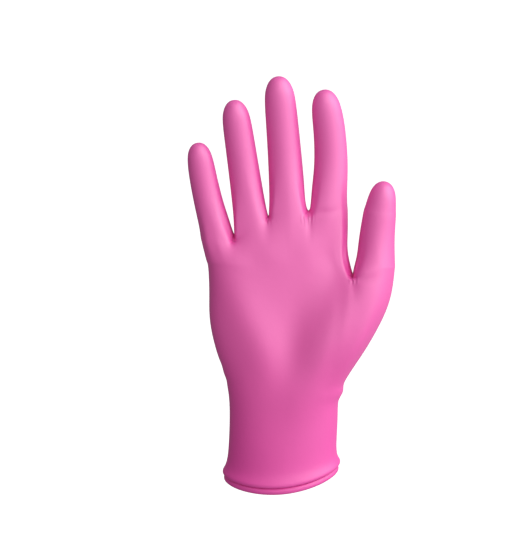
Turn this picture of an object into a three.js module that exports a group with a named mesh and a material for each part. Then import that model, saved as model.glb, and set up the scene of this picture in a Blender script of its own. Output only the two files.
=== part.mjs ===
// Disposable nitrile exam glove with a beaded cuff, in the form it takes on a right hand that is
// held up and open. It is one dipped piece: the film runs from the fingertips to the cuff, where
// its edge is rolled into the bead.
// Frame in millimetres: +Z up along the hand, -Y out of the palm, +X towards the thumb.
// The origin is the middle of the cuff's mouth, where the wrist goes in.
//
// A coarse cage of quads holds the stated sizes: rings round the cuff, the palm and each finger,
// and a short chain of points across each web. One step of Catmull-Clark subdivision rounds it,
// and the cage is set so that the smooth surface passes through its points. The inner wall is
// that surface moved in by the film's thickness, and the bead joins the two at the mouth.
import * as THREE from "three";

// Main sizes of the hand's form
const HAND_LENGTH = 182; // from the wrist crease to the middle fingertip
const HAND_WIDTH = 83.5; // across the roots of the four fingers
const HAND_DEPTH = 32; // through the palm at the thumb's crotch

// Film and bead
const WALL = 1.0;
const BEAD_RADIUS = 1.7;

// Cuff, from the mouth up to the wrist crease
const CUFF_LENGTH = 0.281 * HAND_LENGTH;
const CUFF_LEAN = 7.5; // degrees by which the forearm leans away behind the palm
const WRIST_WIDTH = 0.75 * HAND_WIDTH;
const WRIST_DEPTH = 1.25 * HAND_DEPTH;
const WRIST_SHIFT = 0.0215 * HAND_WIDTH; // the wrist's middle from the mouth's, towards the thumb
const HEM_SWELL = 2.6; // how far the slack film stands out over the bead
const HEM_DIP = 4; // how far the mouth's front hangs below its sides
const HEM_TILT = 5.5; // degrees by which the mouth rises towards the thumb

// Palm. Heights are above the wrist crease, depths are through the hand.
const THUMB_CROTCH_HEIGHT = 0.394 * HAND_LENGTH;
const HEEL_DEPTH = 1.28 * HAND_DEPTH; // through the heel of the hand
const PALM_SHIFT = -0.0215 * HAND_WIDTH; // the palm's middle at the thumb's crotch, from the wrist's
const ROOT_SHIFT = -0.068 * HAND_WIDTH; // middle of the four finger roots, from the wrist's
const WEB_FRONT_DROP = 0.022 * HAND_LENGTH; // how far a web falls from its ridge to the palm
const WEB_BACK_DROP = 0.0385 * HAND_LENGTH; // and to the back of the hand

// The knuckle line from the little finger's outer side to the index finger's: how high it is at
// each web, as a share of the hand's length, and the gap between the fingers just over the web, as
// a share of the hand's width.
const WEBS = [
  { height: 0.4835, gap: 0 },
  { height: 0.503, gap: 0.019 },
  { height: 0.569, gap: 0.024 },
  { height: 0.585, gap: 0.041 },
  { height: 0.5715, gap: 0 },
];
const THUMB_WEB_GAP = 0.0215;

// Fingers from the little-finger side. length runs from the root to the tip. lean tips the finger
// towards the thumb's side, in degrees, bow bends its middle that way, and curl brings its tip
// forward. taper, where it isn't 1, narrows the tip. length and curl are shares of the hand's
// length, depth is a share of its depth, and pitch, which is the width of the root, width and bow
// are shares of its width.
const FINGERS = [
  { pitch: 0.2265, length: 0.305, width: 0.192, depth: 0.444, lean: -11.8, bow: -0.018, curl: 0.0275 },
  { pitch: 0.2325, length: 0.393, width: 0.208, depth: 0.4875, lean: -7.4, bow: -0.0095, curl: 0.033 },
  { pitch: 0.273, length: 0.423, width: 0.225, depth: 0.519, lean: -4.6, bow: 0.0085, curl: 0.033 },
  { pitch: 0.268, length: 0.379, width: 0.223, depth: 0.506, lean: -1.8, bow: 0.025, curl: 0.0275 },
];
const THUMB = {
  pitch: 0.272,
  length: 0.284,
  width: 0.242,
  depth: 0.5625,
  lean: 5.6,
  bow: -0.007,
  curl: 0.0165,
  taper: 0.9,
};
const THUMB_FORWARD = 0.22 * HAND_DEPTH; // the thumb's root, in front of the palm's middle

// Rings of the cuff, from the crease over the bead up. up: share of the cuff's length. width,
// depth: shares of the wrist's. swell: share of the hem's swell.
const CUFF_ROWS = [
  { up: 0.05, width: 1.0, depth: 1.12, swell: -0.05 },
  { up: 0.075, width: 1.005, depth: 1.12, swell: 0.75 },
  { up: 0.125, width: 1.01, depth: 1.12, swell: 1.0 },
  { up: 0.24, width: 1.005, depth: 1.1, swell: 0.28 },
  { up: 0.45, width: 0.99, depth: 1.06, swell: 0 },
  { up: 0.75, width: 0.99, depth: 1.01, swell: 0 },
  { up: 1.0, width: 1.02, depth: 1.0, swell: 0 },
];

// Rings of the lower palm, from the wrist up to the thumb's crotch. up: share of that height.
// little, thumb: how far each edge has moved out from the wrist's to the crotch's. fan: how far
// the columns have spread into the rays of the fingers. thin: how far the depth has gone over
// from the heel's to the crotch's.
const PALM_ROWS = [
  { up: 0.16, little: 0.25, thumb: 0.2, fan: 0.12, thin: 0 },
  { up: 0.36, little: 0.6, thumb: 0.49, fan: 0.35, thin: 0.1 },
  { up: 0.59, little: 0.9, thumb: 0.77, fan: 0.6, thin: 0.4 },
  { up: 0.8, little: 0.95, thumb: 0.94, fan: 0.82, thin: 0.72 },
];

// Rings between the thumb's crotch and the finger roots. up: share of the way. little, thumb: how
// far each edge has moved over from the crotch's to the roots'. thin: the same for the depth. web:
// the same for the depth under a web, where the film keeps the palm's fullness for longer.
const KNUCKLE_ROWS = [
  { up: 0.28, little: 0.26, thumb: 0.96, thin: 0.2, web: 0.1 },
  { up: 0.64, little: 0.64, thumb: 1, thin: 0.58, web: 0.36 },
];

// Rings of a finger. up: share of its length. settled, thinned: how far its section has gone over
// from the root's outline to the finger's own oval, across and in depth. width, depth: shares of
// its own.
const FINGER_ROWS = [
  { up: 0.05, settled: 0.1, thinned: 0.45, width: 1.1, depth: 1.14 },
  { up: 0.17, settled: 0.7, thinned: 0.8, width: 1.07, depth: 1.09 },
  { up: 0.38, settled: 1, thinned: 1, width: 1.03, depth: 1.02 },
  { up: 0.62, settled: 1, thinned: 1, width: 0.98, depth: 0.96 },
];
// Rings of its tip. back: distance from the tip, as a share of the width.
const TIP_ROWS = [
  { back: 0.78, width: 0.93, depth: 0.9 },
  { back: 0.36, width: 0.79, depth: 0.77 },
  { back: 0.1, width: 0.48, depth: 0.46 },
];

// Broad forms under the film. across: from the wrist's middle, as a share of its width. up: height
// above the wrist crease, as a share of the thumb crotch's. lean: degrees by which the form's long
// way tips towards the thumb. wide, tall: its spread, as the same shares. rise: how far it stands
// out of the palm (front) or the back of the hand, as a share of the depth at the crotch.
const SWELLS = [
  { name: "thumb_mound", front: true, across: 0.53, up: 0.57, lean: 24, wide: 0.22, tall: 0.5, rise: 0.19 },
  { name: "thumb_root", front: true, across: 0.63, up: 0.86, lean: 20, wide: 0.16, tall: 0.24, rise: 0.16 },
  { name: "little_mound", front: true, across: -0.29, up: 0.58, lean: -28, wide: 0.2, tall: 0.6, rise: 0.08 },
  { name: "palm_hollow", front: true, across: 0.08, up: 0.4, lean: 12, wide: 0.16, tall: 0.4, rise: -0.05 },
  { name: "back_of_hand", front: false, across: -0.05, up: 0.95, lean: 0, wide: 0.5, tall: 0.5, rise: 0.06 },
];

const LIMIT_PASSES = 4; // times the cage is moved towards its stated points
const BEAD_STEPS = 9;
const MOUTH_POWER = 1.9; // roundness of the sections: 2 is an ellipse
const WRIST_POWER = 2.3;
const PALM_POWER = 2.6;
const COLUMNS = 10; // steps across the front of the wrist
const RAYS = 8; // those of them that run up into the four fingers
const EDGE_INSET = 0.028; // of the first and last ray, as a share of the knuckle line
const ROOT_FULLNESS = 1.3; // depth through a finger's root, as a share of the finger's
const ROOT_WEB_WAIST = 0.72; // thickness at the webs between the roots, as a share of theirs
const ROOT_EDGE_WAIST = 0.7; // and at the outer edges
const THUMB_WEB_WAIST = 0.6; // thickness of the palm's edge at the thumb's web, as a share

const degrees = THREE.MathUtils.degToRad;
const mix = THREE.MathUtils.lerp;
const lean = degrees(CUFF_LEAN);
const wristHeight = CUFF_LENGTH * Math.cos(lean);
const palmY = -CUFF_LENGTH * Math.sin(lean); // the palm's middle plane
const crotchZ = wristHeight + THUMB_CROTCH_HEIGHT;
const littleEdge = WRIST_SHIFT + PALM_SHIFT - HAND_WIDTH / 2;
const crotchEdge = littleEdge + HAND_WIDTH;
const thumbPitch = THUMB.pitch * HAND_WIDTH;
const thumbDepth = THUMB.depth * HAND_DEPTH;
const thumbEdge = crotchEdge + thumbPitch;
const rootEdge = WRIST_SHIFT + ROOT_SHIFT - HAND_WIDTH / 2;

// The cage: points, and quads that turn anticlockwise seen from outside
const points = [];
const quads = [];

function addPoint(x, y, z) {
  points.push(new THREE.Vector3(x, y, z));
  return points.length - 1;
}

function addBand(lower, upper) {
  lower.forEach((point, i) => {
    const next = (i + 1) % lower.length;
    quads.push([point, lower[next], upper[next], upper[i]]);
  });
}

// Every ring runs along the front towards the thumb, then its thumb side, back again along the
// back of the hand, and the little finger's side. These give a column's front and back point.
const frontOf = (ring, column) => ring[column];
const backOf = (ring, column) => ring[ring.length - 2 - column];

// Half depth of a rounded section, where 0 is its middle and 1 its edge.
function roundness(across, power) {
  return Math.pow(Math.max(0, 1 - Math.pow(Math.abs(across), power)), 1 / power);
}

// A ring of the cuff, as shares of its half width and half depth.
function cuffOutline(power) {
  const count = 2 * COLUMNS + 4;
  return Array.from({ length: count }, (_, i) => {
    const turn = Math.PI + ((i + 1) / count) * 2 * Math.PI;
    const across = Math.cos(turn);
    const side = Math.sign(Math.round(Math.sin(turn) * COLUMNS * COLUMNS));
    return { across, depth: side * roundness(across, power) };
  });
}

// Where the rays' columns stand on the knuckle line: each finger's edges and its middle.
function rayShares() {
  const shares = [0];
  for (const { pitch } of FINGERS) {
    const start = shares[shares.length - 1];
    shares.push(start + pitch / 2, start + pitch);
  }
  shares[0] += EDGE_INSET;
  shares[RAYS] -= EDGE_INSET;
  return shares;
}

// The ring at the thumb's crotch, as shares of its half width and half depth: the four rays, the
// thumb's root in front of them, and the hollow between the two.
function crotchOutline() {
  const middle = (littleEdge + thumbEdge) / 2;
  const place = (x, y) => ({
    across: (x - middle) / ((thumbEdge - littleEdge) / 2),
    depth: y / (HAND_DEPTH / 2),
  });
  const rays = (side) =>
    rayShares().map((share, i) => {
      const half = (HAND_DEPTH / 2) * roundness(2 * share - 1, PALM_POWER);
      const web = i === RAYS;
      const y = web ? side * (HAND_DEPTH / 2) * THUMB_WEB_WAIST - THUMB_FORWARD / 3 : side * half;
      return place(littleEdge + share * HAND_WIDTH, y);
    });
  const thumb = (turn, side) =>
    place(
      crotchEdge + (thumbPitch * (1 - Math.cos(turn))) / 2,
      -THUMB_FORWARD + side * (thumbDepth / 2) * FINGER_ROWS[0].depth * Math.sin(turn),
    );
  const outerTurns = [Math.PI / 2, Math.PI * 0.78];
  return [
    ...rays(-1),
    ...outerTurns.map((turn) => thumb(turn, -1)),
    thumb(Math.PI, 0),
    ...outerTurns.reverse().map((turn) => thumb(turn, 1)),
    ...rays(1).reverse(),
    place(littleEdge, 0),
  ];
}

const wristShape = cuffOutline(WRIST_POWER);
const crotchShape = crotchOutline();

function addRing(outline, { x, y, z }, halfWidth, halfDepth, tip) {
  return outline.map(({ across, depth }) =>
    addPoint(
      x + across * halfWidth,
      y + depth * halfDepth * Math.cos(tip),
      z + depth * halfDepth * Math.sin(tip),
    ),
  );
}

// The cuff leans back from the palm. Its mouth hangs a little at the front and rises to one side.
function cuffRings() {
  return CUFF_ROWS.map(({ up, width, depth: deep, swell }) => {
    const along = up * CUFF_LENGTH;
    const middle = { x: up * WRIST_SHIFT, y: -along * Math.sin(lean), z: along * Math.cos(lean) };
    const out = swell * HEM_SWELL;
    const halfWidth = (width * WRIST_WIDTH) / 2 + out;
    const halfDepth = (deep * WRIST_DEPTH) / 2 + out;
    const slack = 1 - up;
    const outline = cuffOutline(mix(WRIST_POWER, MOUTH_POWER, slack));
    const ring = addRing(outline, middle, halfWidth, halfDepth, lean * Math.min(1, 1.5 - up));
    ring.forEach((point, i) => {
      const { across, depth } = outline[i];
      points[point].z += slack * across * halfWidth * Math.tan(degrees(HEM_TILT));
      points[point].z -= slack * Math.min(0, depth) ** 2 * HEM_DIP;
    });
    return ring;
  });
}

function palmRings() {
  return PALM_ROWS.map(({ up, little, thumb, fan, thin }) => {
    const left = mix(WRIST_SHIFT - WRIST_WIDTH / 2, littleEdge, little);
    const right = mix(WRIST_SHIFT + WRIST_WIDTH / 2, thumbEdge, thumb);
    const outline = wristShape.map((point, i) => ({
      across: mix(point.across, crotchShape[i].across, fan),
      depth: mix(point.depth, crotchShape[i].depth, fan),
    }));
    const middle = { x: (left + right) / 2, y: palmY, z: wristHeight + up * THUMB_CROTCH_HEIGHT };
    const halfDepth = mix(HEEL_DEPTH, HAND_DEPTH, thin) / 2;
    return addRing(outline, middle, (right - left) / 2, halfDepth, lean * Math.max(0, 0.5 - 2 * up));
  });
}

function crotchRing() {
  const middle = { x: (littleEdge + thumbEdge) / 2, y: palmY, z: crotchZ };
  const ring = addRing(crotchShape, middle, (thumbEdge - littleEdge) / 2, HAND_DEPTH / 2, 0);
  points[frontOf(ring, RAYS)].z -= WEB_FRONT_DROP;
  points[backOf(ring, RAYS)].z -= WEB_BACK_DROP;
  return ring;
}

function addBands(rings) {
  for (let i = 1; i < rings.length; i++) addBand(rings[i - 1], rings[i]);
}

const crotch = crotchRing();
addBands([...cuffRings(), ...palmRings(), crotch]);

// At the crotch the ring divides in two, joined by a point on the ridge of the thumb's web.
const thumbWeb = addPoint(crotchEdge, palmY - THUMB_FORWARD / 2, crotchZ);
const palmStart = [
  ...crotch.slice(0, RAYS + 1),
  thumbWeb,
  ...crotch.slice(crotch.length - 2 - RAYS),
];
const thumbStart = [...crotch.slice(RAYS, crotch.length - 1 - RAYS), thumbWeb];

// The ring through the finger roots. It rises and falls with the webs, and is as deep as the
// fingers need that grow from it.
function rootRing() {
  const average = (rows, name) => rows.reduce((sum, row) => sum + row[name], 0) / rows.length;
  const column = (share, i, side) => {
    const isWeb = i % 2 === 0;
    const isEdge = i === 0 || i === RAYS;
    const fingers = FINGERS.slice(Math.max(0, Math.ceil(i / 2) - 1), Math.floor(i / 2) + 1);
    const webs = WEBS.slice(Math.floor(i / 2), Math.ceil(i / 2) + 1);
    const waist = isEdge ? ROOT_EDGE_WAIST : isWeb ? ROOT_WEB_WAIST : 1;
    const drop = (side < 0 ? WEB_FRONT_DROP : WEB_BACK_DROP) * (isWeb && !isEdge ? 1 : 0.4);
    return addPoint(
      rootEdge + share * HAND_WIDTH,
      palmY + (side * average(fingers, "depth") * HAND_DEPTH * ROOT_FULLNESS * waist) / 2,
      wristHeight + average(webs, "height") * HAND_LENGTH - drop,
    );
  };
  const shares = rayShares();
  const front = shares.map((share, i) => column(share, i, -1));
  const outer = wristHeight + WEBS[4].height * HAND_LENGTH;
  const thumbSide = addPoint(rootEdge + HAND_WIDTH, palmY, outer);
  const back = shares.map((share, i) => column(share, i, 1)).reverse();
  const littleSide = addPoint(rootEdge, palmY, wristHeight + WEBS[0].height * HAND_LENGTH);
  return [...front, thumbSide, ...back, littleSide];
}

const root = rootRing();

function knuckleRings() {
  return KNUCKLE_ROWS.map(({ up, little, thumb, thin, web }) =>
    palmStart.map((below, i) => {
      const from = points[below];
      const to = points[root[i]];
      const column = Math.min(i, root.length - 2 - i);
      const underWeb = column > 0 && column < RAYS && column % 2 === 0;
      const across = mix(little, thumb, (to.x - rootEdge) / HAND_WIDTH);
      const y = mix(from.y, to.y, underWeb ? web : thin);
      return addPoint(mix(from.x, to.x, across), y, mix(from.z, to.z, up));
    }),
  );
}

addBands([palmStart, ...knuckleRings(), root]);

// The eight points of a finger's ring, in the order of the ring that it grows from.
const FINGER_TURNS = [225, 270, 315, 0, 45, 90, 135, 180].map(degrees);

function addFinger(start, middle, gaps, finger) {
  const { pitch, lean: side, taper = 1 } = finger;
  const length = finger.length * HAND_LENGTH;
  const curl = finger.curl * HAND_LENGTH;
  const width = finger.width * HAND_WIDTH;
  const bow = finger.bow * HAND_WIDTH;
  const depth = finger.depth * HAND_DEPTH;
  const axis = new THREE.Vector3(Math.sin(degrees(side)), 0, Math.cos(degrees(side)));
  const aside = new THREE.Vector3(axis.z, 0, -axis.x);
  const middleAt = (share) =>
    middle
      .clone()
      .addScaledVector(axis, share * length)
      .addScaledVector(aside, bow * Math.sin(Math.PI * share))
      .add(new THREE.Vector3(0, -curl * share * share, 0));
  const rootAt = (index, share) => {
    const point = points[index].clone();
    const gap = point.x < middle.x ? gaps[0] : gaps[1];
    point.x = mix(point.x, middle.x, gap / pitch);
    return point.addScaledVector(axis, share * length);
  };
  const tipRows = TIP_ROWS.map(({ back, ...row }) => ({
    ...row,
    up: 1 - (back * width) / length,
    settled: 1,
    thinned: 1,
  }));
  const step = 0.02;
  const rings = [...FINGER_ROWS, ...tipRows].map((row) => {
    const along = middleAt(row.up + step).sub(middleAt(row.up - step)).normalize();
    const across = new THREE.Vector3(1, 0, 0).addScaledVector(along, -along.x).normalize();
    const behind = new THREE.Vector3().crossVectors(along, across);
    const halfWidth = (row.width * width * mix(1, taper, row.up * row.up)) / 2;
    return FINGER_TURNS.map((turn, i) => {
      const oval = middleAt(row.up)
        .addScaledVector(across, halfWidth * Math.cos(turn))
        .addScaledVector(behind, ((row.depth * depth) / 2) * Math.sin(turn));
      const { x, y, z } = rootAt(start[i], row.up);
      return addPoint(
        mix(x, oval.x, row.settled),
        mix(y, oval.y, row.thinned),
        mix(z, oval.z, row.settled),
      );
    });
  });
  addBands([start, ...rings]);
  const last = rings[rings.length - 1];
  const end = middleAt(1);
  const tip = addPoint(end.x, end.y, end.z);
  for (let i = 0; i < last.length; i += 2) {
    quads.push([last[i], last[i + 1], tip, last[(i + last.length - 1) % last.length]]);
  }
}

function addFingers() {
  const ridges = WEBS.slice(1, -1).map(({ height }, i) =>
    addPoint(points[frontOf(root, 2 * (i + 1))].x, palmY, wristHeight + height * HAND_LENGTH),
  );
  const sides = [root[root.length - 1], ...ridges, root[RAYS + 1]];
  FINGERS.forEach((finger, i) => {
    const columns = [2 * i, 2 * i + 1, 2 * i + 2];
    const start = [
      ...columns.map((column) => frontOf(root, column)),
      sides[i + 1],
      ...columns.reverse().map((column) => backOf(root, column)),
      sides[i],
    ];
    const middle = points[sides[i]].clone().add(points[sides[i + 1]]).multiplyScalar(1 / 2);
    addFinger(start, middle, [WEBS[i].gap, WEBS[i + 1].gap], finger);
  });
}

addFingers();
const thumbMiddle = new THREE.Vector3((crotchEdge + thumbEdge) / 2, palmY - THUMB_FORWARD, crotchZ);
addFinger(thumbStart, thumbMiddle, [THUMB_WEB_GAP, 0], THUMB);

// Catmull-Clark subdivision of the cage
const edgeKey = (a, b) => `${Math.min(a, b)}_${Math.max(a, b)}`;

function neighbourhood(faces, count) {
  const edges = new Map();
  const around = Array.from({ length: count }, () => ({ near: [], opposite: [], rim: [] }));
  faces.forEach((face, f) =>
    face.forEach((point, i) => {
      const next = face[(i + 1) % 4];
      const key = edgeKey(point, next);
      if (!edges.has(key)) edges.set(key, { ends: [point, next], beside: [] });
      edges.get(key).beside.push(f);
      around[point].opposite.push(face[(i + 2) % 4]);
    }),
  );
  for (const { ends, beside } of edges.values()) {
    ends.forEach((point, i) => {
      around[point].near.push(ends[1 - i]);
      if (beside.length === 1) around[point].rim.push(ends[1 - i]);
    });
  }
  return { edges, around };
}

function sumOf(indices, from) {
  return indices.reduce((sum, index) => sum.add(from[index]), new THREE.Vector3());
}

// Where the smooth surface passes, for each point of the mesh. Points of the open rim follow it.
function limitPoints(from, around) {
  return from.map((point, i) => {
    const { near, opposite, rim } = around[i];
    if (rim.length) return sumOf(rim, from).addScaledVector(point, 4).multiplyScalar(1 / 6);
    const n = near.length;
    return sumOf(near, from)
      .multiplyScalar(4)
      .add(sumOf(opposite, from))
      .addScaledVector(point, n * n)
      .multiplyScalar(1 / (n * (n + 5)));
  });
}

// Moves the cage so that the smooth surface comes to pass through the stated points.
function fitCage(stated, around) {
  let cage = stated.map((point) => point.clone());
  for (let pass = 0; pass < LIMIT_PASSES; pass++) {
    const limits = limitPoints(cage, around);
    cage = cage.map((point, i) => point.add(stated[i]).sub(limits[i]));
  }
  return cage;
}

function subdivide(cage, faces) {
  const { edges, around } = neighbourhood(faces, cage.length);
  const middles = faces.map((face) => sumOf(face, cage).multiplyScalar(1 / 4));
  const made = cage.map((point, i) => {
    const { near, opposite, rim } = around[i];
    if (rim.length) return sumOf(rim, cage).addScaledVector(point, 6).multiplyScalar(1 / 8);
    const n = near.length;
    return sumOf(near, cage)
      .multiplyScalar(6)
      .add(sumOf(opposite, cage))
      .multiplyScalar(1 / (4 * n * n))
      .addScaledVector(point, 1 - 7 / (4 * n));
  });
  const edgePoints = new Map();
  for (const [key, { ends, beside }] of edges) {
    const open = beside.length === 1;
    const point = sumOf(ends, cage);
    if (!open) beside.forEach((f) => point.add(middles[f]));
    edgePoints.set(key, made.push(point.multiplyScalar(open ? 1 / 2 : 1 / 4)) - 1);
  }
  const split = faces.flatMap((face, f) => {
    const middle = made.push(middles[f]) - 1;
    return face.map((corner, i) => {
      const after = edgePoints.get(edgeKey(corner, face[(i + 1) % 4]));
      const before = edgePoints.get(edgeKey(face[(i + 3) % 4], corner));
      return [corner, after, middle, before];
    });
  });
  return { cage: made, faces: split };
}

function normalsOf(surface, faces) {
  const normals = surface.map(() => new THREE.Vector3());
  for (const face of faces) {
    const [a, b, c, d] = face.map((index) => surface[index]);
    const normal = new THREE.Vector3().crossVectors(c.clone().sub(a), d.clone().sub(b));
    face.forEach((index) => normals[index].add(normal));
  }
  return normals.map((normal) => normal.normalize());
}

// Raises the mounds and hollows of the hand, by how squarely each point faces front or back.
function raiseSwells(surface, normals) {
  surface.forEach((point, i) => {
    for (const { front, across, up, lean: tip, wide, tall, rise } of SWELLS) {
      const out = front ? -1 : 1;
      const aside = point.x - across * WRIST_WIDTH;
      const above = point.z - wristHeight - up * THUMB_CROTCH_HEIGHT;
      const [cos, sin] = [Math.cos(degrees(tip)), Math.sin(degrees(tip))];
      const x = (aside * cos - above * sin) / (wide * WRIST_WIDTH);
      const z = (aside * sin + above * cos) / (tall * THUMB_CROTCH_HEIGHT);
      const facing = Math.max(0, out * normals[i].y);
      point.y += out * rise * HAND_DEPTH * Math.exp(-(x * x + z * z)) * facing;
    }
  });
}

// The open rim of the surface, as a ring of points in order.
function rimOf(edges) {
  const next = new Map();
  for (const { ends, beside } of edges.values()) {
    if (beside.length === 1) next.set(ends[0], ends[1]);
  }
  const rim = [next.keys().next().value];
  for (let at = next.get(rim[0]); at !== rim[0]; at = next.get(at)) rim.push(at);
  return rim;
}

// The bead: a round section swept along the mouth, from the outer film round to the inner one.
function beadRings(rim, surface, inner) {
  const middle = sumOf(rim, surface).multiplyScalar(1 / rim.length);
  const down = new THREE.Vector3(0, Math.sin(lean), -Math.cos(lean));
  const opening = Math.asin(WALL / 2 / BEAD_RADIUS);
  return Array.from({ length: BEAD_STEPS }, (_, step) => {
    const turn = mix(opening, 2 * Math.PI - opening, (step + 1) / (BEAD_STEPS + 1));
    return rim.map((index) => {
      const film = surface[index].clone().add(inner[index]).multiplyScalar(1 / 2);
      const out = film.clone().sub(middle);
      out.addScaledVector(down, -out.dot(down)).normalize();
      return film
        .addScaledVector(down, BEAD_RADIUS * (Math.cos(opening) - Math.cos(turn)))
        .addScaledVector(out, BEAD_RADIUS * Math.sin(turn));
    });
  });
}

// Two triangles, across the shorter diagonal.
function splitQuad([a, b, c, d], from) {
  const shorter = from[a].distanceTo(from[c]) <= from[b].distanceTo(from[d]);
  return shorter ? [a, b, c, a, c, d] : [a, b, d, b, c, d];
}

function gloveGeometry() {
  const fitted = fitCage(points, neighbourhood(quads, points.length).around);
  const { cage, faces } = subdivide(fitted, quads);
  const { edges, around } = neighbourhood(faces, cage.length);
  const surface = limitPoints(cage, around);
  raiseSwells(surface, normalsOf(surface, faces));
  const normals = normalsOf(surface, faces);
  const inner = surface.map((point, i) => point.clone().addScaledVector(normals[i], -WALL));

  const all = [...surface, ...inner];
  const toInner = (index) => index + surface.length;
  const sides = [...faces, ...faces.map((face) => face.map(toInner).reverse())];
  const rim = rimOf(edges);
  const bead = beadRings(rim, surface, inner).map((ring) => ring.map((point) => all.push(point) - 1));
  const rings = [rim, ...bead, rim.map(toInner)];
  for (let i = 1; i < rings.length; i++) {
    rim.forEach((_, j) => {
      const k = (j + 1) % rim.length;
      sides.push([rings[i - 1][k], rings[i - 1][j], rings[i][j], rings[i][k]]);
    });
  }
  const geometry = new THREE.BufferGeometry();
  geometry.setAttribute("position", new THREE.Float32BufferAttribute(all.flatMap((p) => p.toArray()), 3));
  geometry.setIndex(sides.flatMap((face) => splitQuad(face, all)));
  geometry.computeVertexNormals();
  return geometry;
}

const nitrile = new THREE.MeshStandardMaterial({ color: 0xe45fa6, roughness: 0.48, metalness: 0 });
const glove = new THREE.Mesh(gloveGeometry(), nitrile);
glove.name = "glove";

const part = new THREE.Group();
part.add(glove);

export default part;
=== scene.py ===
import math

import bpy
import numpy as np
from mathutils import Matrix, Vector


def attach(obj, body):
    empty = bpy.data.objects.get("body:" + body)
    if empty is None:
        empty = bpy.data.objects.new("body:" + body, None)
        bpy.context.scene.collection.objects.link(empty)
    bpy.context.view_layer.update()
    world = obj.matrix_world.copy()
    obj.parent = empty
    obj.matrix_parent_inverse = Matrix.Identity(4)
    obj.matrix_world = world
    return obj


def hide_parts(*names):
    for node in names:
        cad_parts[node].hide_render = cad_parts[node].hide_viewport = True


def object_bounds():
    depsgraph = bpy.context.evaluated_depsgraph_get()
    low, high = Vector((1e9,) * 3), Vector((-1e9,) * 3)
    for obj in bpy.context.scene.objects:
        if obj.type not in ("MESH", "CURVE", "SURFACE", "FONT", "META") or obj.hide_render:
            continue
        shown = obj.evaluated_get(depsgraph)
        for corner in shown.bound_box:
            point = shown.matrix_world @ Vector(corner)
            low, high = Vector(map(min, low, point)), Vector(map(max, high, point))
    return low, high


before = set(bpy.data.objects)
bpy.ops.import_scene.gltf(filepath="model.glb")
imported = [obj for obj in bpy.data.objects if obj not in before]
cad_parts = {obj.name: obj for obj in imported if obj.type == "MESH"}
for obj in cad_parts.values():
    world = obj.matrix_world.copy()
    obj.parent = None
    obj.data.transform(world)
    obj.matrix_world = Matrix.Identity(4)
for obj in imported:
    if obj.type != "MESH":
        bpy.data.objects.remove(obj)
cad_low, cad_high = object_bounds()

# Main sizes of the hand's form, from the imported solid's box
HAND_LENGTH = 0.7593 * (cad_high.z - cad_low.z)
HAND_WIDTH = 0.7044 * (cad_high.x - cad_low.x)
HAND_DEPTH = 0.602 * (cad_high.y - cad_low.y)

# Film and bead, and the steps round the bead
FILM = 0.00035
BEAD_RADIUS = 0.0022
BEAD_STEPS = 16

# Cuff, from the mouth up to the wrist crease. Its rings lean back with it. At the crease half of
# the lean is left, and in the palm it goes at twice the rate of the height.
CUFF_LENGTH = 0.281 * HAND_LENGTH
CUFF_LEAN = math.radians(7.5)
LEAN_AT_CREASE = 0.5
PALM_UPRIGHTING = 2
WRIST_WIDTH = 0.75 * HAND_WIDTH
WRIST_DEPTH = 1.25 * HAND_DEPTH
WRIST_SHIFT = 0.0215 * HAND_WIDTH
HEM_SWELL = 0.0023
HEM_DIP = 0.0035
HEM_TILT = math.radians(5.5)

# Palm. Heights are above the wrist crease, depths are through the hand.
THUMB_CROTCH_HEIGHT = 0.394 * HAND_LENGTH
HEEL_DEPTH = 1.28 * HAND_DEPTH
PALM_SHIFT = -0.0215 * HAND_WIDTH
ROOT_SHIFT = -0.068 * HAND_WIDTH
WEB_FRONT_DROP = 0.022 * HAND_LENGTH
WEB_BACK_DROP = 0.0385 * HAND_LENGTH

# Webs from the little finger's outer side to the index finger's: height, as a share of the hand's
# length, and the gap between the fingers just over it, as a share of the hand's width.
WEBS = [
    dict(height=0.4835, gap=0),
    dict(height=0.503, gap=0.019),
    dict(height=0.569, gap=0.024),
    dict(height=0.585, gap=0.041),
    dict(height=0.5715, gap=0),
]
THUMB_WEB_GAP = 0.0215

# Fingers from the little one to the index finger, and the thumb. Length and curl are shares of the
# hand's length, depth of its depth, and pitch, width and bow of its width. Pitch is the room that a
# root takes, and lean is towards the thumb. Taper is the tip's width over the root's, which is 1
# unless it is given.
FINGERS = [
    dict(pitch=0.2265, length=0.305, width=0.192, depth=0.444, lean=-11.8, bow=-0.0135, curl=0.0275),
    dict(pitch=0.2325, length=0.393, width=0.208, depth=0.4875, lean=-8.1, bow=0.001, curl=0.033),
    dict(pitch=0.273, length=0.423, width=0.225, depth=0.519, lean=-4.6, bow=0.004, curl=0.033),
    dict(pitch=0.268, length=0.379, width=0.223, depth=0.506, lean=-2.6, bow=0.034, curl=0.0275),
]
THUMB = dict(
    pitch=0.272, length=0.282, width=0.238, depth=0.5625, lean=6.1, bow=-0.011, curl=0.0165, taper=0.9
)
# How far the thumb, its web and the palm's edge at the web stand forward of the palm's middle
THUMB_FORWARD = 0.22 * HAND_DEPTH
THUMB_WEB_FORWARD = THUMB_FORWARD / 2
THUMB_CROTCH_FORWARD = THUMB_FORWARD / 3
# Where the columns of the thumb's root stand on its half oval
THUMB_ROOT_TURNS = [math.pi / 2, math.pi * 0.78]

# Rings of the cuff: up is a share of its length, width and depth of the wrist's, swell of the hem's
CUFF_ROWS = [
    dict(up=0.08, width=1.0, depth=1.12, swell=-0.1),
    dict(up=0.088, width=1.005, depth=1.12, swell=0.82),
    dict(up=0.13, width=1.01, depth=1.12, swell=1.0),
    dict(up=0.22, width=1.005, depth=1.1, swell=0.2),
    dict(up=0.45, width=0.99, depth=1.06, swell=0),
    dict(up=0.75, width=0.99, depth=1.01, swell=0),
    dict(up=1.0, width=1.02, depth=1.0, swell=0),
]
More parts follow.
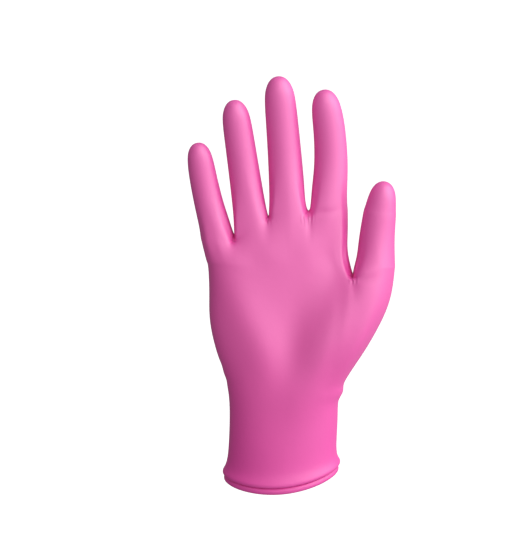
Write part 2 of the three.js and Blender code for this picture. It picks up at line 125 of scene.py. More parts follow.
# Rings of the lower palm, from the wrist crease at 0 to the thumb's crotch at 1. Little and thumb say
# how far the two edges have gone over to the crotch's, fan the outline, and thin the depth.
PALM_ROWS = [
    dict(up=0.16, little=0.25, thumb=0.2, fan=0.12, thin=0),
    dict(up=0.36, little=0.6, thumb=0.49, fan=0.35, thin=0.1),
    dict(up=0.59, little=0.9, thumb=0.77, fan=0.6, thin=0.4),
    dict(up=0.8, little=0.95, thumb=0.94, fan=0.82, thin=0.72),
]
# Rings from the thumb's crotch to the finger roots: how far each has gone over to the roots' ring,
# across at the little finger's and the thumb's side, and in depth at the fingers and the webs
KNUCKLE_ROWS = [
    dict(up=0.28, little=0.26, thumb=0.96, thin=0.2, web=0.06),
    dict(up=0.64, little=0.64, thumb=1, thin=0.58, web=0.26),
]
# Rings of a finger, from its root at 0 to its tip at 1. Settled and thinned say how far the root's
# outline has gone over to the finger's oval, across and in depth.
FINGER_ROWS = [
    dict(up=0.05, settled=0.1, thinned=0.27, width=1.1, depth=1.14),
    dict(up=0.17, settled=0.7, thinned=0.62, width=1.07, depth=1.09),
    dict(up=0.38, settled=1, thinned=0.94, width=1.03, depth=1.02),
    dict(up=0.62, settled=1, thinned=1, width=0.98, depth=0.96),
]
# Rings of a fingertip: back is the way back from the tip, as a share of the finger's width
TIP_ROWS = [
    dict(back=0.78, width=0.93, depth=0.9),
    dict(back=0.36, width=0.79, depth=0.77),
    dict(back=0.1, width=0.48, depth=0.46),
]
# Broad forms under the film. Across and wide are shares of the wrist's width, up and tall of the
# height of the thumb's crotch, and rise of the hand's depth.
SWELLS = [
    dict(front=True, across=0.53, up=0.5, lean=26, wide=0.26, tall=0.42, rise=0.29),
    dict(front=True, across=0.64, up=0.84, lean=20, wide=0.18, tall=0.28, rise=0.13),
    dict(front=True, across=-0.29, up=0.58, lean=-28, wide=0.2, tall=0.6, rise=0.08),
    dict(front=True, across=0.08, up=0.4, lean=12, wide=0.16, tall=0.4, rise=-0.05),
    dict(front=False, across=-0.05, up=0.95, lean=0, wide=0.5, tall=0.5, rise=0.06),
]

# How far the film hangs under each web's ridge, and how far round the ridge the film keeps its
# form, from the little finger's web to the thumb's
WEB_SAGS = [0, 0.0016, 0.0016, 0.0048]
WEB_REACHES = [0.008, 0.008, 0.008, 0.014]
# Folds across the side of the wrist. Heights are in metres over the mouth, and side 1 is the thumb's.
WRIST_FOLDS = [
    dict(side=1, height=0.0512, reach=0.0037, rise=0.0018),
    dict(side=1, height=0.03, reach=0.014, rise=0.0005),
    dict(side=-1, height=0.074, reach=0.022, rise=0.0009),
    dict(side=-1, height=0.0665, reach=0.0035, rise=-0.0004),
    dict(side=-1, height=0.058, reach=0.003, rise=-0.0004),
]
# Creases of the film in front: middle, half length along the crease and across it, turn and depth
CREASES = [
    dict(x=0.024, z=0.1558, long=0.0075, wide=0.0022, turn=4, deep=0.0005),
    dict(x=0.0475, z=0.1185, long=0.0065, wide=0.0022, turn=12, deep=0.0005),
]

# Columns in a ring of the cage: 9 before and 9 behind the fingers, 5 round the thumb and 1 on the
# little finger's edge. In front they count from 0 to RAYS over the fingers, and three are at webs.
RING_COLUMNS = 24
RAYS = 8
WEB_COLUMNS = (2, 4, 6)
# How far in the first and the last of them stand, as a share of the hand's width
EDGE_INSET = 0.028
# Squareness of the sections, where 2 is an oval
MOUTH_POWER = 1.9
WRIST_POWER = 2.3
PALM_POWER = 2.6
# A sine below this counts as 0
NEARLY_ZERO = 1e-6
# Depth of the roots' ring in front and at the back, as a share of the fingers', and how much of it
# is left at the webs, at the palm's edges and at the thumb's web
ROOT_FULLNESS = {-1: 1.46, 1: 1.3}
ROOT_WEB_WAIST = 0.8
ROOT_EDGE_WAIST = 0.7
THUMB_WEB_WAIST = 0.6
# How far the roots' ring dips away from the webs, as a share of its dip at a web
ROOT_DIP = 0.4
# Where the columns of a finger stand on its oval
FINGER_TURNS = [math.radians(turn) for turn in (225, 270, 315, 0, 45, 90, 135, 180)]
# Half the stretch of a finger, as a share of its length, that gives the direction of its middle line
DIRECTION_STEP = 0.02

# Smooth surface: passes that fit the cage to the stated points, and levels of subdivision
LIMIT_PASSES = 4
SUBDIVISIONS = 3
# Easing of the film over the finger roots: its passes, how far it reaches along a finger, how soon
# it is at its full where the film turns to the front, and the least pull between two points
RELAX_PASSES = 90
RELAX_REACH = 0.013
RELAX_FACING = 1.6
LEAST_PULL = 1e-10

wrist_height = CUFF_LENGTH * math.cos(CUFF_LEAN)
palm_y = -CUFF_LENGTH * math.sin(CUFF_LEAN)
crotch_z = wrist_height + THUMB_CROTCH_HEIGHT
little_edge = WRIST_SHIFT + PALM_SHIFT - HAND_WIDTH / 2
crotch_edge = little_edge + HAND_WIDTH
thumb_pitch = THUMB["pitch"] * HAND_WIDTH
thumb_depth = THUMB["depth"] * HAND_DEPTH
thumb_edge = crotch_edge + thumb_pitch
root_edge = WRIST_SHIFT + ROOT_SHIFT - HAND_WIDTH / 2


def mix(a, b, share):
    return a + (b - a) * share


# The cage: points, and quads that turn anticlockwise seen from outside
points = []
quads = []


def add_point(x, y, z):
    points.append(np.array([x, y, z], float))
    return len(points) - 1


def add_band(lower, upper):
    count = len(lower)
    for i in range(count):
        j = (i + 1) % count
        quads.append((lower[i], lower[j], upper[j], upper[i]))


def add_bands(rings):
    for lower, upper in zip(rings, rings[1:]):
        add_band(lower, upper)


def front_of(ring, column):
    return ring[column]


def back_of(ring, column):
    return ring[len(ring) - 2 - column]


def roundness(across, power):
    """Half depth of a rounded section, where 0 is its middle and 1 its edge."""
    return max(0.0, 1 - abs(across) ** power) ** (1 / power)


def cuff_outline(power):
    """A ring of the cuff, as shares of its half width and half depth."""
    outline = []
    for i in range(RING_COLUMNS):
        turn = math.pi + (i + 1) / RING_COLUMNS * 2 * math.pi
        across = math.cos(turn)
        side = 0 if abs(math.sin(turn)) < NEARLY_ZERO else math.copysign(1, math.sin(turn))
        outline.append((across, side * roundness(across, power)))
    return outline


def ray_shares():
    """Where the rays' columns stand on the knuckle line: each finger's edges and its middle."""
    shares = [0.0]
    for finger in FINGERS:
        start = shares[-1]
        shares += [start + finger["pitch"] / 2, start + finger["pitch"]]
    shares[0] += EDGE_INSET
    shares[RAYS] -= EDGE_INSET
    return shares


def crotch_outline():
    """The ring at the thumb's crotch: the four rays, the thumb's root and the hollow between."""
    middle = (little_edge + thumb_edge) / 2

    def place(x, y):
        return ((x - middle) / ((thumb_edge - little_edge) / 2), y / (HAND_DEPTH / 2))

    def rays(side):
        row = []
        for i, share in enumerate(ray_shares()):
            y = side * HAND_DEPTH / 2 * roundness(2 * share - 1, PALM_POWER)
            if i == RAYS:
                y = side * HAND_DEPTH / 2 * THUMB_WEB_WAIST - THUMB_CROTCH_FORWARD
            row.append(place(little_edge + share * HAND_WIDTH, y))
        return row

    def thumb(turn, side):
        half = thumb_depth / 2 * FINGER_ROWS[0]["depth"]
        return place(
            crotch_edge + thumb_pitch * (1 - math.cos(turn)) / 2,
            -THUMB_FORWARD + side * half * math.sin(turn),
        )

    return [
        *rays(-1),
        *[thumb(turn, -1) for turn in THUMB_ROOT_TURNS],
        thumb(math.pi, 0),
        *[thumb(turn, 1) for turn in reversed(THUMB_ROOT_TURNS)],
        *reversed(rays(1)),
        place(little_edge, 0),
    ]


def add_ring(outline, middle, half_width, half_depth, tip):
    """A ring of the cage from an outline of shares, tipped back by the angle tip."""
    x, y, z = middle
    return [
        add_point(
            x + across * half_width,
            y + depth * half_depth * math.cos(tip),
            z + depth * half_depth * math.sin(tip),
        )
        for across, depth in outline
    ]


def cuff_rings():
    """The cuff leans back from the palm. Its mouth hangs a little in front and rises to one side."""
    rings = []
    for row in CUFF_ROWS:
        up = row["up"]
        along = up * CUFF_LENGTH
        middle = (up * WRIST_SHIFT, -along * math.sin(CUFF_LEAN), along * math.cos(CUFF_LEAN))
        out = row["swell"] * HEM_SWELL
        half_width = row["width"] * WRIST_WIDTH / 2 + out
        half_depth = row["depth"] * WRIST_DEPTH / 2 + out
        slack = 1 - up
        outline = cuff_outline(mix(WRIST_POWER, MOUTH_POWER, slack))
        tip = CUFF_LEAN * min(1, 1 + LEAN_AT_CREASE - up)
        ring = add_ring(outline, middle, half_width, half_depth, tip)
        for point, (across, depth) in zip(ring, outline):
            points[point][2] += slack * across * half_width * math.tan(HEM_TILT)
            points[point][2] -= slack * min(0, depth) ** 2 * HEM_DIP
        rings.append(ring)
    return rings


def palm_rings(crotch_shape):
    """The lower palm, which fans out from the wrist's outline to the one at the thumb's crotch."""
    wrist_shape = cuff_outline(WRIST_POWER)
    rings = []
    for row in PALM_ROWS:
        left = mix(WRIST_SHIFT - WRIST_WIDTH / 2, little_edge, row["little"])
        right = mix(WRIST_SHIFT + WRIST_WIDTH / 2, thumb_edge, row["thumb"])
        outline = [
            (mix(a, c, row["fan"]), mix(b, d, row["fan"]))
            for (a, b), (c, d) in zip(wrist_shape, crotch_shape)
        ]
        middle = ((left + right) / 2, palm_y, wrist_height + row["up"] * THUMB_CROTCH_HEIGHT)
        half_depth = mix(HEEL_DEPTH, HAND_DEPTH, row["thin"]) / 2
        tip = CUFF_LEAN * max(0, LEAN_AT_CREASE - PALM_UPRIGHTING * row["up"])
        rings.append(add_ring(outline, middle, (right - left) / 2, half_depth, tip))
    return rings


def crotch_ring(crotch_shape):
    """The ring at the thumb's crotch. It dips under the web, in front and at the back."""
    middle = ((little_edge + thumb_edge) / 2, palm_y, crotch_z)
    ring = add_ring(crotch_shape, middle, (thumb_edge - little_edge) / 2, HAND_DEPTH / 2, 0)
    points[front_of(ring, RAYS)][2] -= WEB_FRONT_DROP
    points[back_of(ring, RAYS)][2] -= WEB_BACK_DROP
    return ring


def root_ring():
    """The ring through the finger roots. It rises and falls with the webs."""

    def average(rows, name):
        return sum(row[name] for row in rows) / len(rows)

    def column(share, i, side):
        web = i % 2 == 0
        edge = i in (0, RAYS)
        fingers = FINGERS[max(0, math.ceil(i / 2) - 1) : i // 2 + 1]
        webs = WEBS[i // 2 : math.ceil(i / 2) + 1]
        waist = ROOT_EDGE_WAIST if edge else ROOT_WEB_WAIST if web else 1
        dip = 1 if web and not edge else ROOT_DIP
        drop = (WEB_FRONT_DROP if side < 0 else WEB_BACK_DROP) * dip
        depth = average(fingers, "depth") * HAND_DEPTH * ROOT_FULLNESS[side] * waist
        height = average(webs, "height") * HAND_LENGTH
        x = root_edge + share * HAND_WIDTH
        return add_point(x, palm_y + side * depth / 2, wrist_height + height - drop)

    shares = list(enumerate(ray_shares()))
    front = [column(share, i, -1) for i, share in shares]
    outer = wrist_height + WEBS[-1]["height"] * HAND_LENGTH
    thumb_side = add_point(root_edge + HAND_WIDTH, palm_y, outer)
    back = [column(share, i, 1) for i, share in shares]
    little_side = add_point(root_edge, palm_y, wrist_height + WEBS[0]["height"] * HAND_LENGTH)
    return [*front, thumb_side, *reversed(back), little_side]


def knuckle_rings(start, root):
    """The upper palm, from the ring at the thumb's crotch to the one through the finger roots."""
    rings = []
    for row in KNUCKLE_ROWS:
        ring = []
        for column, (low, high) in enumerate(zip(start, root)):
            a, b = points[low], points[high]
            across = mix(row["little"], row["thumb"], (b[0] - root_edge) / HAND_WIDTH)
            column = min(column, len(root) - 2 - column)
            thin = row["web"] if column in WEB_COLUMNS else row["thin"]
            x, y, z = mix(a[0], b[0], across), mix(a[1], b[1], thin), mix(a[2], b[2], row["up"])
            ring.append(add_point(x, y, z))
        rings.append(ring)
    return rings


class Bone:
    """The middle line of a finger, from its root at 0 to its tip at 1."""

    def __init__(self, start, finger):
        self.start = np.array(start, float)
        self.finger = finger
        self.length = finger["length"] * HAND_LENGTH
        side = math.radians(finger["lean"])
        self.axis = np.array([math.sin(side), 0, math.cos(side)])
        self.aside = np.array([math.cos(side), 0, -math.sin(side)])

    def at(self, share):
        bow = self.finger["bow"] * HAND_WIDTH * math.sin(math.pi * share)
        curl = self.finger["curl"] * HAND_LENGTH * share * share
        straight = self.start + share * self.length * self.axis
        return straight + bow * self.aside - np.array([0, curl, 0])


def add_finger(start, bone, gaps):
    """The rings of a finger, which go over from the root's outline to ovals, and its round tip."""
    finger = bone.finger
    width = finger["width"] * HAND_WIDTH
    depth = finger["depth"] * HAND_DEPTH

    def root_at(index, share):
        x, y, z = points[index]
        gap = gaps[0] if x < bone.start[0] else gaps[1]
        low = np.array([mix(x, bone.start[0], gap / finger["pitch"]), y, z])
        return low + share * bone.length * bone.axis

    tip_rows = [
        dict(row, up=1 - row["back"] * width / bone.length, settled=1, thinned=1) for row in TIP_ROWS
    ]
    rings = []
    for row in [*FINGER_ROWS, *tip_rows]:
        up = row["up"]
        along = bone.at(up + DIRECTION_STEP) - bone.at(up - DIRECTION_STEP)
        along /= np.linalg.norm(along)
        across = np.array([1.0, 0, 0]) - along * along[0]
        across /= np.linalg.norm(across)
        behind = np.cross(along, across)
        half_width = row["width"] * width * mix(1, finger.get("taper", 1), up * up) / 2
        half_depth = row["depth"] * depth / 2
        ring = []
        for index, turn in zip(start, FINGER_TURNS):
            oval = bone.at(up) + across * half_width * math.cos(turn)
            oval += behind * half_depth * math.sin(turn)
            settled = np.array([row["settled"], row["thinned"], row["settled"]])
            ring.append(add_point(*mix(root_at(index, up), oval, settled)))
        rings.append(ring)
    add_bands([start, *rings])
    last = rings[-1]
    tip = add_point(*bone.at(1))
    for i in range(0, len(last), 2):
        quads.append((last[i], last[i + 1], tip, last[i - 1]))


def build_cage():
    """Fills points and quads, and returns the fingers' middle lines and the tops of the webs."""
    shape = crotch_outline()
    cuff = cuff_rings()
    palm = palm_rings(shape)
    crotch = crotch_ring(shape)
    add_bands([*cuff, *palm, crotch])
    thumb_web = add_point(crotch_edge, palm_y - THUMB_WEB_FORWARD, crotch_z)
    palm_start = [*crotch[: RAYS + 1], thumb_web, *crotch[len(crotch) - 2 - RAYS :]]
    thumb_start = [*crotch[RAYS : len(crotch) - 1 - RAYS], thumb_web]
    root = root_ring()
    add_bands([palm_start, *knuckle_rings(palm_start, root), root])
    ridges = [
        add_point(points[front_of(root, column)][0], palm_y, wrist_height + web["height"] * HAND_LENGTH)
        for column, web in zip(WEB_COLUMNS, WEBS[1:])
    ]
    sides = [root[-1], *ridges, root[RAYS + 1]]
    bones = []
    for i, finger in enumerate(FINGERS):
        columns = [2 * i, 2 * i + 1, 2 * i + 2]
        start = [
            *[front_of(root, column) for column in columns],
            sides[i + 1],
            *[back_of(root, column) for column in reversed(columns)],
            sides[i],
        ]
        bones.append(Bone((points[sides[i]] + points[sides[i + 1]]) / 2, finger))
        add_finger(start, bones[-1], [WEBS[i]["gap"], WEBS[i + 1]["gap"]])
    bones.append(Bone([(crotch_edge + thumb_edge) / 2, palm_y - THUMB_FORWARD, crotch_z], THUMB))
    add_finger(thumb_start, bones[-1], [THUMB_WEB_GAP, 0])
    webs = [points[i] for i in [*ridges, thumb_web]]
    for web, sag in zip(webs, WEB_SAGS):
        web[2] -= sag
    return bones, webs


def fit_cage():
    """Moves the cage so that the smooth surface comes to pass through the stated points.

    The weights are those that give the limit point of Catmull and Clark's subdivision.
    """
    stated = np.array(points)
    count = len(stated)
    near = [set() for _ in range(count)]
    opposite = [[] for _ in range(count)]
    used = {}
    for quad in quads:
        for i in range(4):
            a, b, c = quad[i], quad[(i + 1) % 4], quad[(i + 2) % 4]
            near[a].add(b)
            near[b].add(a)
            opposite[a].append(c)
            edge = (min(a, b), max(a, b))
            used[edge] = used.get(edge, 0) + 1
    rim = [[] for _ in range(count)]
    for (a, b), times in used.items():
        if times == 1:
            rim[a].append(b)
            rim[b].append(a)
    weights = np.zeros((count, count))
    for i in range(count):
        n = len(near[i])
        if rim[i]:
            weights[i, rim[i]] = 1 / 6
            weights[i, i] = 4 / 6
            continue
        weights[i, list(near[i])] += 4 / (n * (n + 5))
        for j in opposite[i]:
            weights[i, j] += 1 / (n * (n + 5))
        weights[i, i] += n / (n + 5)
    cage = stated.copy()
    for _ in range(LIMIT_PASSES):
        cage += stated - weights @ cage
    return cage


def add_object(name, data):
    thing = bpy.data.objects.new(name, data)
    bpy.context.scene.collection.objects.link(thing)
    return thing


def smooth_surface(cage):
    """The subdivided cage, with its points on the smooth surface: points and quads as arrays."""
    mesh = bpy.data.meshes.new("cage")
    mesh.from_pydata(cage.tolist(), [], quads)
    cage_object = add_object("cage", mesh)
    rounded = cage_object.modifiers.new("rounded", "SUBSURF")
    rounded.levels = SUBDIVISIONS
    rounded.use_limit_surface = True
    rounded.boundary_smooth = "ALL"
    fine = cage_object.evaluated_get(bpy.context.evaluated_depsgraph_get()).to_mesh()
    surface = np.zeros(len(fine.vertices) * 3)
    fine.vertices.foreach_get("co", surface)
    faces = np.zeros(len(fine.loops), int)
    fine.loops.foreach_get("vertex_index", faces)
    bpy.data.objects.remove(cage_object)
    bpy.data.meshes.remove(mesh)
    return surface.reshape(-1, 3), faces.reshape(-1, 4)


def normals_of(surface, faces):
    """The outward direction at each point, from the quads round it."""
    a, b, c, d = (surface[faces[:, i]] for i in range(4))
    flat = np.cross(c - a, d - b)
    normals = np.zeros_like(surface)
    for i in range(4):
        np.add.at(normals, faces[:, i], flat)
    return normals / np.linalg.norm(normals, axis=1, keepdims=True)


def relax_roots(surface, faces, bones, ridges):
    """Eases the depth of the film over the finger roots, where it spans the joints.

    It pulls along the fingers alone, and leaves the fingers' sides and the webs as they are.
    """
    flatness = np.minimum(1, RELAX_FACING * abs(normals_of(surface, faces)[:, 1]))
    weight = np.zeros(len(surface))
    for bone in bones:
        along = (surface - bone.start) @ bone.axis
        aside = (surface - bone.start) @ bone.aside
        own = abs(aside) < bone.finger["pitch"] * HAND_WIDTH
        weight = np.maximum(weight, np.exp(-((along / RELAX_REACH) ** 2)) * own * flatness)
    for ridge, reach in zip(ridges, WEB_REACHES):
        weight *= 1 - np.exp(-np.sum((surface - ridge) ** 2, axis=1) / reach**2)
    start = faces.ravel()
    neighbours = np.roll(faces, -1, axis=1).ravel()
    edges = surface[neighbours] - surface[start]
    pull = (edges[:, 2] ** 2 + LEAST_PULL) / np.linalg.norm(edges, axis=1) ** 3
    total = np.bincount(start, pull, len(surface))
    for _ in range(RELAX_PASSES):
        depth = np.bincount(start, pull * surface[neighbours, 1], len(surface)) / total
        surface[:, 1] += weight * (depth - surface[:, 1])


def raise_swells(surface, faces):
    """Swells the palm and the back of the hand, in depth alone."""
    normals = normals_of(surface, faces)
    for swell in SWELLS:
        out = -1 if swell["front"] else 1
        lean = math.radians(swell["lean"])
        across = surface[:, 0] - swell["across"] * WRIST_WIDTH
        up = surface[:, 2] - wrist_height - swell["up"] * THUMB_CROTCH_HEIGHT
        x = (across * math.cos(lean) - up * math.sin(lean)) / (swell["wide"] * WRIST_WIDTH)
        z = (across * math.sin(lean) + up * math.cos(lean)) / (swell["tall"] * THUMB_CROTCH_HEIGHT)
        facing = np.maximum(0, out * normals[:, 1])
        surface[:, 1] += out * swell["rise"] * HAND_DEPTH * np.exp(-(x * x + z * z)) * facing


def fold_wrist(surface, faces):
    """Folds and dents the two sides of the wrist and the cuff, sideways alone."""
    sideways = normals_of(surface, faces)[:, 0]
    for fold in WRIST_FOLDS:
        facing = np.maximum(0, fold["side"] * sideways) ** 2
        near = np.exp(-(((surface[:, 2] - fold["height"]) / fold["reach"]) ** 2))
        surface[:, 0] += fold["side"] * fold["rise"] * near * facing


def crease_film(surface, faces):
    """Presses the shallow creases into the front, in depth alone."""
    facing = np.maximum(0, -normals_of(surface, faces)[:, 1])
    for crease in CREASES:
        turn = math.radians(crease["turn"])
        x, z = surface[:, 0] - crease["x"], surface[:, 2] - crease["z"]
        along = (x * math.cos(turn) + z * math.sin(turn)) / crease["long"]
        across = (z * math.cos(turn) - x * math.sin(turn)) / crease["wide"]
        surface[:, 1] += crease["deep"] * np.exp(-(along**2 + across**2)) * facing


def rim_of(faces):
    """The open rim of the surface, as a ring of points in order."""
    pairs = np.stack([faces, np.roll(faces, -1, axis=1)], axis=2).reshape(-1, 2)
    keys = np.sort(pairs, axis=1)
    _, first, times = np.unique(keys, axis=0, return_index=True, return_counts=True)
    following = dict(pairs[first[times == 1]].tolist())
    rim = [next(iter(following))]
    while following[rim[-1]] != rim[0]:
        rim.append(following[rim[-1]])
    return np.array(rim)


def bead_rings(rim, surface, inner):
    """The bead: a round section swept along the mouth, from the outer film to the inner one."""
    film = (surface[rim] + inner[rim]) / 2
    down = np.array([0, math.sin(CUFF_LEAN), -math.cos(CUFF_LEAN)])
    out = film - film.mean(axis=0)
    out -= np.outer(out @ down, down)
    out /= np.linalg.norm(out, axis=1, keepdims=True)
    opening = math.asin(FILM / 2 / BEAD_RADIUS)
    rings = []
    for step in range(1, BEAD_STEPS + 1):
        turn = mix(opening, 2 * math.pi - opening, step / (BEAD_STEPS + 1))
        rings.append(
            film
            + down * BEAD_RADIUS * (math.cos(opening) - math.cos(turn))
            + out * BEAD_RADIUS * math.sin(turn)
        )
    return rings


def glove_mesh():
    """The whole film as one closed mesh: the outer side, the inner side and the bead between."""
    bones, ridges = build_cage()
    surface, faces = smooth_surface(fit_cage())
    relax_roots(surface, faces, bones, ridges)
    raise_swells(surface, faces)
    fold_wrist(surface, faces)
    crease_film(surface, faces)
    normals = normals_of(surface, faces)
    inner = surface - normals * FILM
    rim = rim_of(faces)
    count = len(surface)
    bead = bead_rings(rim, surface, inner)
    everything = np.vstack([surface, inner, *bead])
    rings = [rim]
    rings += [2 * count + i * len(rim) + np.arange(len(rim)) for i in range(len(bead))]
    rings.append(rim + count)
    bands = [faces, faces[:, ::-1] + count]
    for upper, lower in zip(rings, rings[1:]):
        bands.append(np.stack([np.roll(upper, -1), upper, lower, np.roll(lower, -1)], axis=1))
    mesh = bpy.data.meshes.new("glove_film")
    mesh.from_pydata(everything.tolist(), [], np.vstack(bands).tolist())
    mesh.polygons.foreach_set("use_smooth", [True] * len(mesh.polygons))
    mesh.update()
    return mesh


# The satin of the film, and its colour where it is slack and where it is stretched
FILM_ROUGHNESS = 0.6
FILM_IOR = 1.85
TINTS = [
    dict(stretch=0.1, color=(0.73, 0.01, 0.32, 1)),
    dict(stretch=1.0, color=(0.74, 0.032, 0.345, 1)),
]
CLOUDS = dict(scale=22, detail=3, share=0.3)
# Gloss at the cuff and in the palm, and the two heights between which it rises
GLOSS = dict(cuff=0.75, palm=1.0)
GLOSS_LOW = 0.2 * wrist_height
GLOSS_HIGH = wrist_height + 0.5 * THUMB_CROTCH_HEIGHT
# Relief of the film: a fine grain, the ripples of slack film and the bands of the pleats
GRAIN = dict(scale=1500, detail=2, strength=0.08, distance=0.0002)
RIPPLES = dict(scale=210, detail=3, strength=0.2, distance=0.0003)
PLEAT_BANDS = dict(scale=150, waver=3, strength=0.9, distance=0.0005)
# The webs that gather the film into fine pleats: where each gathers most, and how far it reaches
PLEATS = [
    dict(middle=(0.0149, 0, 0.153), reach=0.0055),
    dict(middle=(0.0405, 0, 0.1185), reach=0.004),
    dict(middle=(-0.0075, 0, 0.151), reach=0.003),
]
ALL_BUT_DEPTH = (1, 0, 1)


def add_node(tree, kind, inputs, operation=None):
    """A shader node. An input that is given another node's output is linked to it."""
    node = tree.nodes.new("ShaderNode" + kind)
    if operation:
        node.operation = operation
    for name, value in inputs.items():
        if isinstance(value, bpy.types.NodeSocket):
            tree.links.new(value, node.inputs[name])
        else:
            node.inputs[name].default_value = value
    return node


def noise(tree, place, look):
    inputs = {"Vector": place, "Scale": look["scale"], "Detail": look["detail"]}
    return add_node(tree, "TexNoise", inputs).outputs["Fac"]


def pleats(tree, place):
    """The height of the pleats: fine bands under each of the webs, and none elsewhere."""
    wave = {"Vector": place, "Scale": PLEAT_BANDS["scale"], "Distortion": PLEAT_BANDS["waver"]}
    bands = add_node(tree, "TexWave", wave).outputs["Fac"]
    flat = add_node(tree, "VectorMath", {0: place, 1: ALL_BUT_DEPTH}, "MULTIPLY").outputs["Vector"]
    gathered = 0
    for pleat in PLEATS:
        away = add_node(tree, "VectorMath", {0: flat, 1: pleat["middle"]}, "DISTANCE").outputs["Value"]
        near = add_node(tree, "MapRange", {"Value": away, "From Min": pleat["reach"], "From Max": 0})
        near.interpolation_type = "SMOOTHSTEP"
        either = {0: gathered, 1: near.outputs["Result"]}
        gathered = add_node(tree, "Math", either, "MAXIMUM").outputs["Value"]
    return add_node(tree, "Math", {0: bands, 1: gathered}, "MULTIPLY").outputs["Value"]


def film_tint(tree, place, up):
    """Paler where the hand stretches the film, towards the fingertips, and a little uneven."""
    rise = {"Value": up, "From Min": wrist_height, "From Max": wrist_height + HAND_LENGTH}
    stretch = add_node(tree, "MapRange", rise).outputs["Result"]
    share = {0: noise(tree, place, CLOUDS), 1: CLOUDS["share"], 2: stretch}
    uneven = add_node(tree, "Math", share, "MULTIPLY_ADD").outputs["Value"]
    tint = add_node(tree, "ValToRGB", {"Fac": uneven})
    for element, row in zip(tint.color_ramp.elements, TINTS):
        element.position = row["stretch"]
        element.color = row["color"]
    return tint.outputs["Color"]


def film_gloss(tree, up):
    """Glossier from the cuff up to the middle of the palm."""
    heights = {"Value": up, "From Min": GLOSS_LOW, "From Max": GLOSS_HIGH}
    levels = {"To Min": GLOSS["cuff"], "To Max": GLOSS["palm"]}
    return add_node(tree, "MapRange", {**heights, **levels}).outputs["Result"]


def film_relief(tree, place):
    """The normal of the film, with its grain, ripples and pleats laid one over the other."""
    normal = {}
    for height, look in [
        (noise(tree, place, GRAIN), GRAIN),
        (noise(tree, place, RIPPLES), RIPPLES),
        (pleats(tree, place), PLEAT_BANDS),
    ]:
        bump = {"Height": height, "Strength": look["strength"], "Distance": look["distance"]}
        normal = {"Normal": add_node(tree, "Bump", {**bump, **normal}).outputs["Normal"]}
    return normal["Normal"]


def nitrile():
    """Satin pink nitrile, paler towards the fingertips and less glossy at the cuff."""
    material = bpy.data.materials.new("nitrile")
    material.use_nodes = True
    tree = material.node_tree
    shader = tree.nodes["Principled BSDF"]
    shader.inputs["Roughness"].default_value = FILM_ROUGHNESS
    shader.inputs["IOR"].default_value = FILM_IOR
    place = add_node(tree, "TexCoord", {}).outputs["Object"]
    up = add_node(tree, "SeparateXYZ", {"Vector": place}).outputs["Z"]
    tree.links.new(film_tint(tree, place, up), shader.inputs["Base Color"])
    tree.links.new(film_gloss(tree, up), shader.inputs["Specular IOR Level"])
    tree.links.new(film_relief(tree, place), shader.inputs["Normal"])
    return material


def add_glove():
    glove = add_object("glove_film", glove_mesh())
    glove.data.materials.append(nitrile())
    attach(glove, "root")
    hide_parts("glove")


# The floor: how far under the mouth, how wide, its grey, and the glow that makes it white
FLOOR_DROP = 0.6
FLOOR_SIZE = 60
FLOOR_COLOR = (0.85, 0.85, 0.85, 1)
FLOOR_ROUGHNESS = 0.9
FLOOR_GLOW = 0.62


def add_floor():
    """A plain pale floor, well under the glove, that gives it no light."""
    half = FLOOR_SIZE / 2
    mesh = bpy.data.meshes.new("floor")
    corners = [(-half, -half), (half, -half), (half, half), (-half, half)]
    mesh.from_pydata([(x, y, -FLOOR_DROP) for x, y in corners], [], [(0, 1, 2, 3)])
    floor = add_object("floor", mesh)
    material = bpy.data.materials.new("pale_floor")
    material.use_nodes = True
    shader = material.node_tree.nodes["Principled BSDF"]
    shader.inputs["Base Color"].default_value = FLOOR_COLOR
    shader.inputs["Roughness"].default_value = FLOOR_ROUGHNESS
    shader.inputs["Emission Color"].default_value = (1, 1, 1, 1)
    shader.inputs["Emission Strength"].default_value = FLOOR_GLOW
    mesh.materials.append(material)
    floor.visible_diffuse = False
    floor.visible_glossy = False


# The studio's light on the glove, from its dim side to its bright side, and the white behind
DIM = 0.14
BRIGHT = 0.95
WHITE = 1.0
BRIGHT_SIDE = Vector((0.88, -0.4, 0.25))


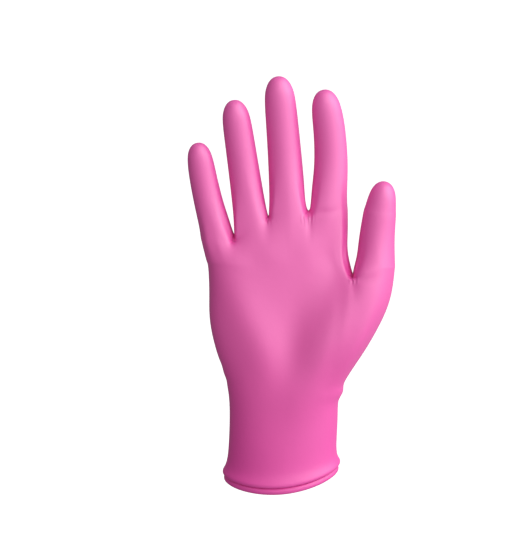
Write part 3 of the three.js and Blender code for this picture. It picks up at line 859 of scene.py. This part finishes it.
def add_world():
    """A pale studio: white behind the object, and a light on it that grows towards one side."""
    world = bpy.data.worlds.new("studio")
    world.use_nodes = True
    bpy.context.scene.world = world
    tree = world.node_tree
    background = tree.nodes["Background"]
    background.inputs["Color"].default_value = (1, 1, 1, 1)
    place = add_node(tree, "TexCoord", {}).outputs["Generated"]
    towards = add_node(tree, "VectorMath", {0: place, 1: BRIGHT_SIDE}, "DOT_PRODUCT").outputs["Value"]
    rise = {"Value": towards, "From Min": -1, "To Min": DIM, "To Max": BRIGHT}
    glow = add_node(tree, "MapRange", rise).outputs["Result"]
    seen = add_node(tree, "LightPath", {}).outputs["Is Camera Ray"]
    strength = add_node(tree, "Mix", {"Factor": seen, "A": glow, "B": WHITE})
    tree.links.new(strength.outputs["Result"], background.inputs["Strength"])


GLOVE_MIDDLE = Vector((0, 0, 0.12))


def add_aimed(name, data, aim, azimuth, elevation, distance):
    """An object that looks at a point. Azimuth 0 is before the palm and 90 on the thumb's side."""
    a, e = math.radians(azimuth), math.radians(elevation)
    away = Vector((math.sin(a) * math.cos(e), -math.cos(a) * math.cos(e), math.sin(e)))
    thing = add_object(name, data)
    thing.location = aim + away * distance
    thing.rotation_mode = "QUATERNION"
    thing.rotation_quaternion = away.to_track_quat("Z", "Y")
    return thing


def add_area_light(name, azimuth, elevation, distance, size, power):
    """A square soft light."""
    light = bpy.data.lights.new(name, "AREA")
    light.size = size
    light.energy = power
    add_aimed(name, light, GLOVE_MIDDLE, azimuth, elevation, distance)


# The photograph's view. Its frame is so many pixels high, and each shows so much of the glove.
IMAGE_HEIGHT = 538
PIXEL = 0.000574
CAMERA_DISTANCE = 1.5
CAMERA_ELEVATION = 8
CAMERA_AIM = GLOVE_MIDDLE + Vector((-0.0093, 0, 0.00104))
SENSOR_WIDTH = 36
FARTHEST_SEEN = 200


def add_camera():
    camera = bpy.data.cameras.new("camera")
    camera.sensor_width = SENSOR_WIDTH
    camera.lens = SENSOR_WIDTH * CAMERA_DISTANCE / (IMAGE_HEIGHT * PIXEL)
    camera.clip_end = FARTHEST_SEEN
    holder = add_aimed("camera", camera, CAMERA_AIM, 0, CAMERA_ELEVATION, CAMERA_DISTANCE)
    bpy.context.scene.camera = holder


bpy.context.scene.view_settings.view_transform = "Standard"
add_glove()
add_floor()
add_world()
add_area_light("key", azimuth=64, elevation=26, distance=1.3, size=1.3, power=13)
add_area_light("fill", azimuth=15, elevation=28, distance=1.8, size=1.8, power=7.3)
add_camera()
